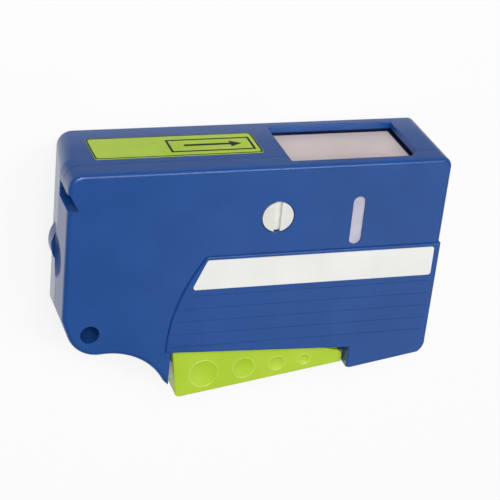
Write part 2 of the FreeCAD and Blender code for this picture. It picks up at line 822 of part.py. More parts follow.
outline(
    room,
    [
        (wall_end, f"{skin_foot} + {skin_slope} * ({wall_end} - {tip_x})"),
        ("lever_skin_end_from_left", f"{skin_foot} + {skin_slope} * (lever_skin_end_from_left - {tip_x})"),
        ("lever_skin_end_from_left", open_below),
        ("heel_side_from_left + wall", open_below),
        ("heel_side_from_left + wall", "-lever_top_from_top + wall"),
        ("lever_top_from_left - wall", "-lever_top_from_top + wall"),
        ("lever_top_from_left - wall", "-lever_wall_from_top"),
        (wall_end, "-lever_wall_from_top"),
    ],
)
pocket(lever, room, f"{lever_front} - lever_front_plate - lever_level - lever_back_plate")
knuckle = new_sketch(lever, "lever_knuckle", "knuckle_level")
outline(
    knuckle,
    [
        (f"{hinge_x} + knuckle_radius * cos({tip_normal})", f"{hinge_y} + knuckle_radius * sin({tip_normal})"),
        ("lever_skin_end_from_left - wall",
         f"{skin_foot} - {skin_rise} + {skin_slope} * (lever_skin_end_from_left - wall - {tip_x})"),
        ("lever_skin_end_from_left - wall",
         f"{skin_foot} + {skin_slope} * (lever_skin_end_from_left - wall - {tip_x})"),
        (hinge_x, f"{hinge_y} + knuckle_radius", "knuckle_radius", "right"),
    ],
)
pad(lever, knuckle, "knuckle_length")
pin_bore = new_sketch(lever, "lever_bore", "knuckle_level + knuckle_length")
circle(pin_bore, hinge_x, hinge_y, "pin_radius + running_gap")
pocket(lever, pin_bore, "knuckle_length")
for dimple in dimples:
    bowl = lever.newObject("PartDesign::SubtractiveSphere", dimple)
    ball = f"(({dimple}_radius^2 + dimple_depth^2) / (2 * dimple_depth))"
    bowl.setExpression("Radius", bound(ball))
    bowl.setExpression("Placement.Base.x", bound(dimple + "_from_left"))
    bowl.setExpression("Placement.Base.y", bound(f"-{dimple}_from_top"))
    bowl.setExpression("Placement.Base.z", bound(f"{lever_front} - dimple_depth + {ball}"))

lever_pin = cylinder("lever_pin", "pin_radius", "knuckle_level + knuckle_length + ear_gap + ear_thick - ear_level")
place(lever_pin, hinge_x, hinge_y, "ear_level")
nodes.append(lever_pin)

lever_spring = new_body("lever_spring")
leaf = new_sketch(lever_spring, "spring_leaf", "spring_level")
leaf_top = f"({heel_wall_top} + seat_gap)"
hook_x = "(heel_side_from_left + wall + seat_gap)"
touch_y = f"({skin_foot} + {skin_slope} * (spring_touch_from_left - {tip_x}) + seat_gap)"
outline(
    leaf,
    [
        (hook_x, f"{leaf_top} - spring_hook"),
        (f"{hook_x} + spring_thick", f"{leaf_top} - spring_hook"),
        (f"{hook_x} + spring_thick", f"{leaf_top} + spring_thick"),
        ("heel_side_from_left", f"{leaf_top} + spring_thick"),
        ("spring_touch_from_left", f"{touch_y} + spring_thick"),
        ("spring_touch_from_left", touch_y),
        ("heel_side_from_left", leaf_top),
        (hook_x, leaf_top),
    ],
)
pad(lever_spring, leaf, "spring_width")


def half_tooth(teeth, pitch_radius, radius):
    """Half angle of an involute tooth at one radius, thinned for play."""
    pressure = math.radians(value("pressure_angle"))
    base = pitch_radius * math.cos(pressure)
    here = math.acos(min(base / radius, 1.0))
    middle = math.pi / (2 * teeth) - value("tooth_gap") / (2 * pitch_radius)
    return middle + math.tan(pressure) - pressure - math.tan(here) + here


def polar(radius, angle):
    return FreeCAD.Vector(radius * math.cos(angle), radius * math.sin(angle), 0)


def tooth_points(teeth, pitch_radius, angle):
    """Corners of one tooth, counterclockwise: root, base, pitch and tip of both flanks."""
    module = 2 * pitch_radius / teeth
    root = pitch_radius - value("tooth_root") * module
    base = max(root, pitch_radius * math.cos(math.radians(value("pressure_angle"))))
    tip = pitch_radius + value("tooth_tip") * module
    rising = [(radius, half_tooth(teeth, pitch_radius, radius)) for radius in (base, pitch_radius, tip)]
    rising.insert(0, (root, rising[0][1]))
    first = [polar(radius, angle - half) for radius, half in rising]
    return first + [polar(radius, angle + half) for radius, half in reversed(rising)]


def gear_points(teeth, pitch_radius):
    return sum([tooth_points(teeth, pitch_radius, 2 * math.pi * index / teeth) for index in range(teeth)], [])


def distinct(points):
    return [point for index, point in enumerate(points) if (point - points[index - 1]).Length > 1e-6]


def closed_face(points, bores=()):
    """Flat face inside a closed line of points, less round bores given as (centre, radius)."""
    corners = distinct(points)
    wires = [Part.makePolygon(corners + corners[:1])]
    for centre, radius in bores:
        wires.append(Part.Wire(Part.makeCircle(radius, centre)))
    return Part.makeFace(wires, "Part::FaceMakerBullseye")


def solid_node(name, face, thick, across, up, level, turn=0.0):
    """Flat piece made from a face worked out by a formula."""
    item = doc.addObject("Part::Feature", name)
    item.Shape = face.extrude(FreeCAD.Vector(0, 0, value(thick)))
    item.Placement = FreeCAD.Placement(
        FreeCAD.Vector(), FreeCAD.Rotation(FreeCAD.Vector(0, 0, 1), math.degrees(turn))
    )
    place(item, across, up, level)
    nodes.append(item)
    return item


axis = FreeCAD.Vector(0, 0, 0)
hinge = FreeCAD.Vector(value(hinge_x), value(hinge_y), 0)
disc_place = ("disc_from_left", "-disc_from_top")
disc = FreeCAD.Vector(value("disc_from_left"), -value("disc_from_top"), 0)
arm_pivot = FreeCAD.Vector(value("arm_pivot_from_left"), value(arm_pivot_y), 0)
squeeze = math.radians(value("squeeze"))


def direction(start, finish):
    return math.atan2(finish.y - start.y, finish.x - start.x)


def sector_points(teeth, pitch_radius, contact, spread):
    """Toothed arc about the hinge from just before the contact line on to where the full squeeze brings it."""
    step = 2 * math.pi / teeth
    count = math.ceil(squeeze / step) + spread
    return sum([tooth_points(teeth, pitch_radius, contact + step * index) for index in range(-spread, count)], [])


# Drive sector on the lever and the drive gear behind the slotted disc
drive_span = (disc - hinge).Length
drive_total = value("drive_teeth") + value("drive_sector_teeth")
drive_radius = drive_span * value("drive_teeth") / drive_total
sector_radius = drive_span * value("drive_sector_teeth") / drive_total
to_disc = direction(hinge, disc)
hub = value("knuckle_radius")
hub_steps = 6


def hub_points(turn):
    """Half circle of the hub on the hinge, on the side away from the teeth."""
    return [polar(hub, turn + math.pi * (1 / 2 + step / hub_steps)) for step in range(hub_steps + 1)]


sector_teeth = sector_points(int(value("drive_sector_teeth")), sector_radius, to_disc, 2)
sector_face = closed_face(sector_teeth + hub_points(to_disc))
solid_node("drive_sector", sector_face, "gear_thick", hinge_x, hinge_y, "lever_level + lever_back_plate")
gear_turn = direction(disc, hinge) + math.pi / value("drive_teeth")
drive_face = closed_face(
    gear_points(int(value("drive_teeth")), drive_radius), [(axis, value("spindle_radius + running_gap"))]
)
solid_node("drive_gear", drive_face, "gear_thick", *disc_place, "gear_level", gear_turn)

# Teeth on the lever's back plate that swing the shutter's arm
arm_sector_radius = value("arm_module * arm_sector_teeth / 2")
to_arm = direction(hinge, arm_pivot)
fan_teeth = sector_points(int(value("arm_sector_teeth")), arm_sector_radius, to_arm, 2)
fan = new_sketch(lever, "lever_fan", "lever_level")
fan_corners = distinct([hinge + point for point in fan_teeth + hub_points(to_arm)])
for index, corner in enumerate(fan_corners):
    fan.addGeometry(Part.LineSegment(fan_corners[index - 1], corner))
pad(lever, fan, "lever_back_plate")

# Shutter's arm: small gear, strip and the pin that moves the shutter's tab
arm_radius = value("arm_module * arm_teeth / 2")
arm_half_swing = squeeze * value("arm_sector_teeth / arm_teeth") / 2
arm_rest = math.pi / 2 - arm_half_swing
arm_turn = direction(arm_pivot, hinge) + math.pi / value("arm_teeth")
arm_up = FreeCAD.Vector(0, 0, value("arm_thick"))
arm_teeth_points = [
    polar(point.Length, math.atan2(point.y, point.x) + arm_turn)
    for point in gear_points(int(value("arm_teeth")), arm_radius)
]
arm_end = polar(value(arm_length), arm_rest)
arm_side = polar(value("arm_width / 2"), arm_rest + math.pi / 2)
arm_strip = closed_face([arm_side, arm_end + arm_side, arm_end - arm_side, -arm_side]).extrude(arm_up)
arm_eye = Part.makeCylinder(value("arm_width / 2"), value("arm_thick"), arm_end)
arm_pin_level = FreeCAD.Vector(0, 0, value("tab_level - arm_level"))
arm_pin = Part.makeCylinder(value("arm_pin_radius"), value("arm_level - tab_level"), arm_end + arm_pin_level)
arm_shape = closed_face(arm_teeth_points).extrude(arm_up).multiFuse([arm_strip, arm_eye, arm_pin])
shutter_arm = doc.addObject("Part::Feature", "shutter_arm")
shutter_arm.Shape = arm_shape.cut(
    Part.makeCylinder(value("arm_post_radius + running_gap"), value("arm_thick"))
).removeSplitter()
place(shutter_arm, "arm_pivot_from_left", arm_pivot_y, "arm_level")
nodes.append(shutter_arm)

# Shutter: sheet below the window with a slotted tab at its back edge
half_swing = "(squeeze * arm_sector_teeth / arm_teeth / 2)"
tab_middle = f"(arm_pivot_from_left + {arm_length} * sin({half_swing}))"
shutter_under = "(-shutter_from_top - shutter_thick)"
shutter = new_body("shutter")
sheet_metal = new_sketch(shutter, "shutter_sheet", "tab_level")
rectangle(
    sheet_metal,
    "window_from_left - shutter_over",
    shutter_under,
    "window_from_left + window_length + shutter_over",
    "-shutter_from_top",
)
pad(shutter, sheet_metal, "case_depth - front_wall - shutter_side_gap - tab_level")
slot_half = "(arm_pin_radius + tab_slot_play)"
slot_foot = f"({arm_pivot_y} + {arm_length} * cos({half_swing}) - {slot_half})"
tab = new_sketch(shutter, "shutter_tab", "tab_level")
rectangle(
    tab,
    f"{tab_middle} - tab_width / 2",
    f"{slot_foot} - tab_edge",
    f"{tab_middle} + tab_width / 2",
    shutter_under,
)
pad(shutter, tab, "shutter_thick")
tab_slot = new_sketch(shutter, "shutter_slot", "tab_level + shutter_thick")
rectangle(
    tab_slot,
    f"{tab_middle} - {slot_half}",
    slot_foot,
    f"{tab_middle} + {slot_half}",
    f"-arm_pin_from_top + {slot_half}",
)
pocket(shutter, tab_slot, "shutter_thick")

shutter_panel = new_body("shutter_panel")
panel_plate = new_sketch(shutter_panel, "shutter_panel_plate", "window_back_wall + shutter_panel_far_gap")
rectangle(
    panel_plate,
    "window_from_left + shutter_panel_near_gap",
    "-shutter_from_top",
    f"{window_right} - shutter_panel_far_gap",
    "-shutter_from_top + shutter_panel_rise",
)
panel_depth = "case_depth - window_front - shutter_panel_near_gap - window_back_wall - shutter_panel_far_gap"
pad(shutter_panel, panel_plate, panel_depth)
round_edges(
    shutter_panel,
    "shutter_panel_edge_round",
    "shutter_panel_round",
    lambda edge: abs(edge.BoundBox.YMin - value("-shutter_from_top + shutter_panel_rise")) < 1e-4,
)

# Slotted disc on the take-up spindle, with the ratchet wheel, the pawls and the pinion
disc_level = "(case_depth - disc_recess - disc_thick)"
spindle = new_body("take_up_spindle")
shaft = new_sketch(spindle, "spindle_shaft", "gear_level")
circle(shaft, *disc_place, "spindle_radius")
pad(spindle, shaft, f"{disc_level} - gear_level")
knob = new_sketch(spindle, "spindle_disc", disc_level)
circle(knob, *disc_place, "disc_radius")
pad(spindle, knob, "disc_thick")
coin_slot = new_sketch(spindle, "spindle_coin_slot", "case_depth - disc_recess")
rectangle(
    coin_slot,
    "disc_from_left - coin_slot_width / 2",
    "-disc_from_top - disc_radius - disc_gap",
    "disc_from_left + coin_slot_width / 2",
    "-disc_from_top + disc_radius + disc_gap",
)
pocket(spindle, coin_slot, "coin_slot_depth")

shaft_bore = [(axis, value("spindle_radius + running_gap"))]
ratchet_step = 2 * math.pi / value("ratchet_teeth")
ratchet_tip = value("ratchet_radius")
ratchet_points = []
for index in range(int(value("ratchet_teeth"))):
    ratchet_points.append(polar(ratchet_tip, ratchet_step * index))
    ratchet_points.append(polar(ratchet_tip - value("ratchet_tooth"), ratchet_step * (index + 0.1)))
solid_node("ratchet_wheel", closed_face(ratchet_points, shaft_bore), "ratchet_thick", *disc_place, "ratchet_level")


def pawl_face(foot_radius, foot_angle, reach):
    """Leaf from a broad foot to the tip of a ratchet tooth."""
    near = ratchet_tip + value("seat_gap")
    foot = value("pawl_foot / 2")
    return closed_face(
        [
            polar(foot_radius - foot, foot_angle),
            polar(foot_radius + foot, foot_angle),
            polar(foot_radius + foot, foot_angle + foot / foot_radius),
            polar(near + value("pawl_thick"), foot_angle + reach),
            polar(near, foot_angle + reach),
        ]
    )


drive_pawl_turn = to_disc + math.pi / 2
drive_pawl_foot = drive_radius - value("pawl_foot") * 1.5
pawl = pawl_face(drive_pawl_foot, drive_pawl_turn, math.pi / 6)
solid_node("drive_pawl", pawl, "ratchet_level + ratchet_thick - gear_level - gear_thick",
           *disc_place, "gear_level + gear_thick")
check_pawl_foot = drive_radius + value("pawl_foot")
pawl = pawl_face(check_pawl_foot, drive_pawl_turn + math.pi, math.pi / 4)
solid_node("check_pawl", pawl, "plate_level - ratchet_level", *disc_place, "ratchet_level")

take_up = FreeCAD.Vector(value("take_up_from_left"), value(take_up_y), 0)
take_up_place = ("take_up_from_left", take_up_y)
pinion_radius = value("ring_module * pinion_teeth / 2")
ring_radius = value("ring_module * ring_teeth / 2")
pinion_face = closed_face(gear_points(int(value("pinion_teeth")), pinion_radius), shaft_bore)
solid_node("take_up_pinion", pinion_face, "ring_thick", *disc_place, "ring_level", direction(disc, take_up))
ring_turn = direction(take_up, disc) + math.pi / value("ring_teeth")
post_bore = [(axis, value("post_radius + running_gap"))]
ring_face = closed_face(gear_points(int(value("ring_teeth")), ring_radius), post_bore)
solid_node("take_up_ring", ring_face, "ring_thick", *take_up_place, "ring_level", ring_turn)

# Gear plate with the reels' posts, its screws
plate_front = "(plate_level + plate_thick)"
supply_place = ("supply_from_left", "-supply_from_top")
mid_plate = new_body("mid_plate")
plate = new_sketch(mid_plate, "plate_sheet", "plate_level")
plate_right = "(case_length - right_lean - wall - plate_gap)"
outline(
    plate,
    [
        ("left_wall + plate_gap", "-plate_rail_from_top"),
        (plate_right, "-plate_rail_from_top"),
        (plate_right, "-plate_lobe_from_top"),
        ("plate_lobe_from_left", "-plate_lobe_from_top"),
        ("plate_lobe_from_left", "-plate_foot_from_top"),
        ("left_wall + plate_gap", "-plate_foot_from_top"),
    ],
)
pad(mid_plate, plate, "plate_thick")
for post_name, post_place in (("take_up", take_up_place), ("supply", supply_place)):
    post = new_sketch(mid_plate, post_name + "_post", "plate_level")
    circle(post, *post_place, "post_radius")
    pad(mid_plate, post, "case_depth - front_wall - post_tip_gap - plate_level")
plate_holes = new_sketch(mid_plate, "plate_holes", plate_front)
circle(plate_holes, *disc_place, "spindle_radius + running_gap")
for screw in screws:
    circle(plate_holes, screw + "_from_left", f"-{screw}_from_top", "screw_radius + running_gap")
pocket(mid_plate, plate_holes, "plate_thick")

screw_solids = []
for screw in screws:
    solid = doc.addObject("Part::Fuse", screw)
    solid.Base = cylinder(screw + "_head", "screw_head_radius", "screw_head")
    solid.Tool = cylinder(screw + "_shank", "screw_radius - running_gap", "screw_length")
    solid.Tool.setExpression("Placement.Base.z", bound("-screw_length"))
    place(solid, screw + "_from_left", f"-{screw}_from_top", plate_front)
    screw_solids.append(solid)
plate_screws = doc.addObject("Part::Compound", "plate_screws")
plate_screws.Links = screw_solids
nodes.append(plate_screws)

# Reels and rolls
tape_end = "(tape_level + tape_width)"
take_up_reel = new_body("take_up_reel")
take_up_hub = new_sketch(take_up_reel, "take_up_hub", "ring_level + ring_thick")
circle(take_up_hub, *take_up_place, "hub_radius")
circle(take_up_hub, *take_up_place, "post_radius + running_gap")
pad(take_up_reel, take_up_hub, f"{tape_end} - ring_level - ring_thick + seat_gap")
take_up_flange = new_sketch(take_up_reel, "take_up_flange", f"{tape_end} + seat_gap")
circle(take_up_flange, *take_up_place, "take_up_flange_radius")
circle(take_up_flange, *take_up_place, "post_radius + running_gap")
pad(take_up_reel, take_up_flange, "flange_thick")
supply_reel = new_body("supply_reel")
supply_flange = new_sketch(supply_reel, "supply_flange", "reel_level")
circle(supply_flange, *supply_place, "supply_flange_radius")
circle(supply_flange, *supply_place, "post_radius + running_gap")
pad(supply_reel, supply_flange, "flange_thick")
supply_hub = new_sketch(supply_reel, "supply_hub", "reel_level + flange_thick")
circle(supply_hub, *supply_place, "hub_radius")
circle(supply_hub, *supply_place, "post_radius + running_gap")
pad(supply_reel, supply_hub, f"{tape_end} - reel_level - flange_thick + seat_gap")
roll_bore = "hub_radius + running_gap"
tube("take_up_roll", "take_up_roll_radius", roll_bore, "tape_width", *take_up_place, "tape_level")
tube("supply_roll", "supply_roll_radius", roll_bore, "tape_width", *supply_place, "tape_level")
felt_bore = "post_radius + running_gap"
tube("brake_felt", "felt_radius", felt_bore, f"reel_level - {plate_front} - running_gap", *supply_place, plate_front)

# Guide rollers on their pins
pin_solids = []
roller_level = f"({plate_front} + roller_over)"
roller_end = f"({tape_end} + roller_over)"
for side in ("left", "right"):
    roller_place = (f"roller_{side}_from_left", "-roller_from_top")
    tube(f"guide_roller_{side}", "roller_radius", "roller_pin_radius + running_gap",
         f"{roller_end} - {roller_level}", *roller_place, roller_level)
    pin = cylinder(f"guide_pin_{side}", "roller_pin_radius", f"{roller_end} + roller_over - {plate_front}")
    place(pin, *roller_place, plate_front)
    pin_solids.append(pin)
guide_pins = doc.addObject("Part::Compound", "guide_pins")
guide_pins.Links = pin_solids
nodes.append(guide_pins)


def tape_edges(offset):
    """Line of the tape at one offset from the rolls and rollers: straight runs and arcs, supply to take-up."""
    circles = [
        (FreeCAD.Vector(value("supply_from_left"), -value("supply_from_top"), 0), value("supply_roll_radius")),
        (FreeCAD.Vector(value("roller_right_from_left"), -value("roller_from_top"), 0), value("roller_radius")),
        (FreeCAD.Vector(value("roller_left_from_left"), -value("roller_from_top"), 0), value("roller_radius")),
        (take_up, value("take_up_roll_radius")),
    ]
    edges = []
    last_normal = None
    for (start, start_radius), (finish, finish_radius) in zip(circles, circles[1:]):
        span = (finish - start).Length
        normal = direction(start, finish) - math.acos((start_radius - finish_radius) / span)
        leave = start + polar(start_radius + offset, normal)
        if last_normal is not None:
            middle = last_normal + (normal - last_normal) % (2 * math.pi) / 2
            arrive = edges[-1].Vertexes[-1].Point
            edges.append(Part.Arc(arrive, start + polar(start_radius + offset, middle), leave).toShape())
        edges.append(Part.makeLine(leave, finish + polar(finish_radius + offset, normal)))
        last_normal = normal
    return edges


inner_edges = tape_edges(value("seat_gap"))
outer_edges = tape_edges(value("seat_gap + tape_thick"))
tape_caps = [
    Part.makeLine(inner_edges[0].Vertexes[0].Point, outer_edges[0].Vertexes[0].Point),
    Part.makeLine(inner_edges[-1].Vertexes[-1].Point, outer_edges[-1].Vertexes[-1].Point),
]
tape_wire = Part.Wire(Part.__sortEdges__(inner_edges + outer_edges + tape_caps))
solid_node("cleaning_tape", Part.Face(tape_wire), "tape_width", "0", "0", "tape_level")

# Pad behind the tape and its holder
pad_top = "(-roller_from_top + roller_radius)"
pad_foot = f"({pad_top} - pad_thick)"
cleaning_pad = new_body("cleaning_pad")
pad_block = new_sketch(cleaning_pad, "pad_block", "tape_level")
outline(
    pad_block,
    [
        ("pad_from_left", pad_foot),
        ("pad_from_left + pad_length", pad_foot),
        ("pad_from_left + pad_length", f"{pad_top} - pad_round", "pad_round", "left"),
        ("pad_from_left + pad_length - pad_round", pad_top),
        ("pad_from_left + pad_round", pad_top, "pad_round", "left"),
        ("pad_from_left", f"{pad_top} - pad_round"),
    ],
)
pad(cleaning_pad, pad_block, "tape_width")
pad_holder = new_body("pad_holder")
holder_end = "pad_from_left + pad_length + holder_over"
holder = new_sketch(pad_holder, "holder_bar", "reel_level")
rectangle(holder, "pad_from_left - holder_over", f"{pad_foot} - holder_thick", holder_end, pad_foot)
pad(pad_holder, holder, f"{tape_end} - reel_level")
holder_foot = new_sketch(pad_holder, "holder_foot", plate_front)
rectangle(holder_foot, "pad_from_left + pad_length / 2", f"{pad_foot} - holder_thick", holder_end, pad_foot)
pad(pad_holder, holder_foot, f"reel_level - {plate_front}")

# White strip on the grip panel and the label on the top face
front_strip = new_body("front_strip")
strip = new_sketch(front_strip, "strip_sheet", "case_depth + panel_rise")
strip_right = "(case_length - right_lean - strip_end_inset)"
outline(
    strip,
    [
        ("strip_top_from_left", "-strip_from_top"),
        (strip_right, "-strip_from_top"),
        (strip_right, "-strip_bottom_from_top"),
        ("strip_foot_from_left", "-strip_bottom_from_top"),
    ],
)
pad(front_strip, strip, "strip_thick")
round_edges(
    front_strip, "strip_corner_round", "strip_round", lambda edge: abs(edge.BoundBox.ZLength - value("strip_thick")) < 1e-4
)
top_label = new_body("top_label")
label = new_sketch(top_label, "label_sheet", plane="XZ_Plane")
label_back = "(case_depth - label_front - label_width)"
rectangle(label, "label_from_left", label_back, "label_from_left + label_length", "case_depth - label_front")
label_pad = pad(top_label, label, "label_thick")
label_pad.Reversed = True
round_edges(
    top_label, "label_corner_round", "label_round", lambda edge: abs(edge.BoundBox.YLength - value("label_thick")) < 1e-4
)

doc.recompute()
for item in doc.Objects:
    if "Invalid" in item.State or "Touched" in item.State:
        raise RuntimeError(f"{item.Name} did not recompute")
for node in nodes:
    if not node.Shape.isValid() or not node.Shape.Solids:
        raise RuntimeError(f"{node.Label} is not a valid solid")

os.makedirs("parts", exist_ok=True)
for node in nodes:
    node.Shape.exportStep(f"parts/{node.Label}.step")
    print(node.Label, len(node.Shape.Solids), round(node.Shape.Volume, 1))
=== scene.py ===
import bmesh
import bpy
import math
import numpy as np
from mathutils import Matrix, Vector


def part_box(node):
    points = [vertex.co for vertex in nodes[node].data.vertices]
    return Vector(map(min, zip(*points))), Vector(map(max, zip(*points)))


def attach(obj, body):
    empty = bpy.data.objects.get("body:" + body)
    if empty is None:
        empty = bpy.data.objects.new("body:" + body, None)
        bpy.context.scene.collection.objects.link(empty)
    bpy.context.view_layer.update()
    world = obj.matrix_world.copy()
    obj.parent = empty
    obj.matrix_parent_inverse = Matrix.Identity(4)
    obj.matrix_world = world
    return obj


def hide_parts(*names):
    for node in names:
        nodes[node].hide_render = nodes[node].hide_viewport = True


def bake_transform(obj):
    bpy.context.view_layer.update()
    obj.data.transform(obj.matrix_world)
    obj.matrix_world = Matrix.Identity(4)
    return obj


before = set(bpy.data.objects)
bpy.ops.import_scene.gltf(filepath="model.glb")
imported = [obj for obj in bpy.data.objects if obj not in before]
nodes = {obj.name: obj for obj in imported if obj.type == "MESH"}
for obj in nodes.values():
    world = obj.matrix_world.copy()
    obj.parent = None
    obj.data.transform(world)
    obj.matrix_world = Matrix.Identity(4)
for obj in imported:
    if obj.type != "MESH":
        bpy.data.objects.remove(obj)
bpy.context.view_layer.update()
mm = 0.001
fullTurn = 2 * np.pi
print("frame loaded:", len(nodes), "nodes")

# noise detail, and where the dark and light ends of each pattern's colours lie
pattern = {
    "mottleDetail": 2.0, "mottleEnds": (0.35, 0.65), "grainDetail": 4.0,
    "threadEnds": (0.1, 0.7), "turnEnds": (0.1, 0.6),
}


def linear(red, green, blue):
    # screen colour 0-255 to scene-linear: ((c + 0.055) / 1.055) to the power 2.4
    return tuple(((c / 255 + 0.055) / 1.055) ** 2.4 for c in (red, green, blue)) + (1.0,)


def newMaterial(name, look):
    material = bpy.data.materials.new(name)
    material.use_nodes = True
    tree = material.node_tree
    shader = tree.nodes["Principled BSDF"]
    shader.inputs["Roughness"].default_value = look["roughness"]
    shader.inputs["Specular IOR Level"].default_value = look["specular"]
    shader.inputs["Metallic"].default_value = look.get("metallic", 0.0)
    place = tree.nodes.new("ShaderNodeTexCoord")
    return material, tree, shader, place


def addNoise(tree, place, scale, detail):
    noise = tree.nodes.new("ShaderNodeTexNoise")
    noise.inputs["Scale"].default_value = scale
    noise.inputs["Detail"].default_value = detail
    tree.links.new(place.outputs["Object"], noise.inputs["Vector"])
    return noise.outputs["Fac"]


def addColour(tree, shader, source, look, ends):
    # base colour from dark to light as the source goes from one end to the other
    ramp = tree.nodes.new("ShaderNodeValToRGB")
    colours = (look["dark"], look["light"])
    for element, position, colour in zip(ramp.color_ramp.elements, ends, colours):
        element.position = position
        element.color = colour
    tree.links.new(source, ramp.inputs["Fac"])
    tree.links.new(ramp.outputs["Color"], shader.inputs["Base Color"])


def addBump(tree, shader, source, depth, strength):
    bump = tree.nodes.new("ShaderNodeBump")
    bump.inputs["Distance"].default_value = depth
    bump.inputs["Strength"].default_value = strength
    tree.links.new(source, bump.inputs["Height"])
    tree.links.new(bump.outputs["Normal"], shader.inputs["Normal"])


def mouldedPlastic(name, look):
    # soft mottle of two near colours, fine spark-eroded grain as bump and as a change of gloss
    material, tree, shader, place = newMaterial(name, look)
    mottle = addNoise(tree, place, look["mottleScale"], pattern["mottleDetail"])
    addColour(tree, shader, mottle, look, pattern["mottleEnds"])
    grain = addNoise(tree, place, look["grainScale"], pattern["grainDetail"])
    gloss = tree.nodes.new("ShaderNodeMapRange")
    gloss.inputs["To Min"].default_value = look["roughness"] - look["glossSpread"]
    gloss.inputs["To Max"].default_value = look["roughness"] + look["glossSpread"]
    tree.links.new(grain, gloss.inputs["Value"])
    tree.links.new(gloss.outputs["Result"], shader.inputs["Roughness"])
    addBump(tree, shader, grain, look["grainDepth"], look["grainStrength"])
    return material


def wovenCloth(name, look):
    # threads: product of two crossed sine bands on the cloth's own UV in metres
    material, tree, shader, place = newMaterial(name, look)
    cross = tree.nodes.new("ShaderNodeMath")
    cross.operation = "MULTIPLY"
    for index, direction in enumerate(("X", "Y")):
        band = tree.nodes.new("ShaderNodeTexWave")
        band.bands_direction = direction
        band.inputs["Scale"].default_value = look["threadScale"]
        tree.links.new(place.outputs["UV"], band.inputs["Vector"])
        tree.links.new(band.outputs["Fac"], cross.inputs[index])
    addColour(tree, shader, cross.outputs[0], look, pattern["threadEnds"])
    addBump(tree, shader, cross.outputs[0], look["threadDepth"], look["threadStrength"])
    return material


def woundCloth(name, look, node):
    # turns of a roll: sine of the distance from the roll's own axis
    material, tree, shader, place = newMaterial(name, look)
    centre = circleOf(node)[0]
    shift = tree.nodes.new("ShaderNodeMapping")
    shift.inputs["Location"].default_value = (-centre[0], -centre[1], 0)
    tree.links.new(place.outputs["Object"], shift.inputs["Vector"])
    ring = tree.nodes.new("ShaderNodeTexWave")
    ring.wave_type = "RINGS"
    ring.rings_direction = "Z"
    ring.inputs["Scale"].default_value = look["turnScale"]
    ring.inputs["Distortion"].default_value = look["turnWaver"]
    tree.links.new(shift.outputs["Vector"], ring.inputs["Vector"])
    addColour(tree, shader, ring.outputs["Fac"], look, pattern["turnEnds"])
    addBump(tree, shader, ring.outputs["Fac"], look["turnDepth"], look["turnStrength"])
    return material


def circleOf(node):
    # centre and radius of a round node that stands along Z
    low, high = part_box(node)
    return np.array([(low.x + high.x) / 2, (low.y + high.y) / 2]), (high.x - low.x) / 2


def dress(names, material):
    for name in names:
        mesh = nodes[name].data
        mesh.materials.clear()
        mesh.materials.append(material)


def gridFaces(rows, columns, closedRows=False, closedColumns=False):
    # four-cornered faces between neighbouring points of a grid counted row by row
    row = np.arange(rows if closedRows else rows - 1)
    column = np.arange(columns if closedColumns else columns - 1)
    first, second = np.meshgrid(row, column, indexing="ij")
    nextRow = (first + 1) % rows
    nextColumn = (second + 1) % columns
    corners = [first * columns + second, nextRow * columns + second,
               nextRow * columns + nextColumn, first * columns + nextColumn]
    return np.stack([corner.ravel() for corner in corners], axis=1).tolist()


def meshPiece(name, points, faces, material):
    # new object at the origin, its place in its points
    mesh = bpy.data.meshes.new(name)
    mesh.from_pydata(np.asarray(points).tolist(), [], faces)
    mesh.update()
    mesh.materials.append(material)
    piece = bpy.data.objects.new(name, mesh)
    bpy.context.scene.collection.objects.link(piece)
    return piece


def closeForm(piece, smooth, reach=1e-7):
    # points nearer than the reach joined, faces turned outward
    work = bmesh.new()
    work.from_mesh(piece.data)
    bmesh.ops.remove_doubles(work, verts=work.verts, dist=reach)
    bmesh.ops.recalc_face_normals(work, faces=work.faces)
    work.to_mesh(piece.data)
    work.free()
    piece.data.polygons.foreach_set("use_smooth", np.full(len(piece.data.polygons), smooth))


# blue case
casePlastic = {
    "dark": linear(27, 76, 146), "light": linear(31, 80, 152), "roughness": 0.27, "specular": 0.5,
    "mottleScale": 60.0, "grainScale": 3000.0, "grainDepth": 0.02 * mm, "grainStrength": 0.015,
    "glossSpread": 0.01,
}
dress(["back_shell", "front_cover"], mouldedPlastic("caseBlue", casePlastic))

# lime squeeze lever
leverPlastic = {
    "dark": linear(180, 213, 48), "light": linear(187, 218, 58), "roughness": 0.36, "specular": 0.5,
    "mottleScale": 80.0, "grainScale": 3600.0, "grainDepth": 0.03 * mm, "grainStrength": 0.14,
    "glossSpread": 0.05,
}
dress(["lever"], mouldedPlastic("leverLime", leverPlastic))

# white disc, gears and pawls
whitePlastic = {
    "dark": linear(222, 222, 216), "light": linear(236, 236, 231), "roughness": 0.38, "specular": 0.5,
    "mottleScale": 140.0, "grainScale": 4200.0, "grainDepth": 0.02 * mm, "grainStrength": 0.12,
    "glossSpread": 0.05,
}
dress(["take_up_spindle", "drive_sector", "drive_gear", "drive_pawl", "check_pawl", "ratchet_wheel",
       "take_up_pinion", "take_up_ring", "shutter_arm"], mouldedPlastic("gearWhite", whitePlastic))

# pale grey plate, reels and rollers
greyPlastic = {
    "dark": linear(200, 202, 203), "light": linear(214, 215, 215), "roughness": 0.42, "specular": 0.5,
    "mottleScale": 120.0, "grainScale": 4000.0, "grainDepth": 0.02 * mm, "grainStrength": 0.12,
    "glossSpread": 0.05,
}
dress(["mid_plate", "take_up_reel", "supply_reel", "guide_roller_left", "guide_roller_right", "pad_holder"],
      mouldedPlastic("reelGrey", greyPlastic))

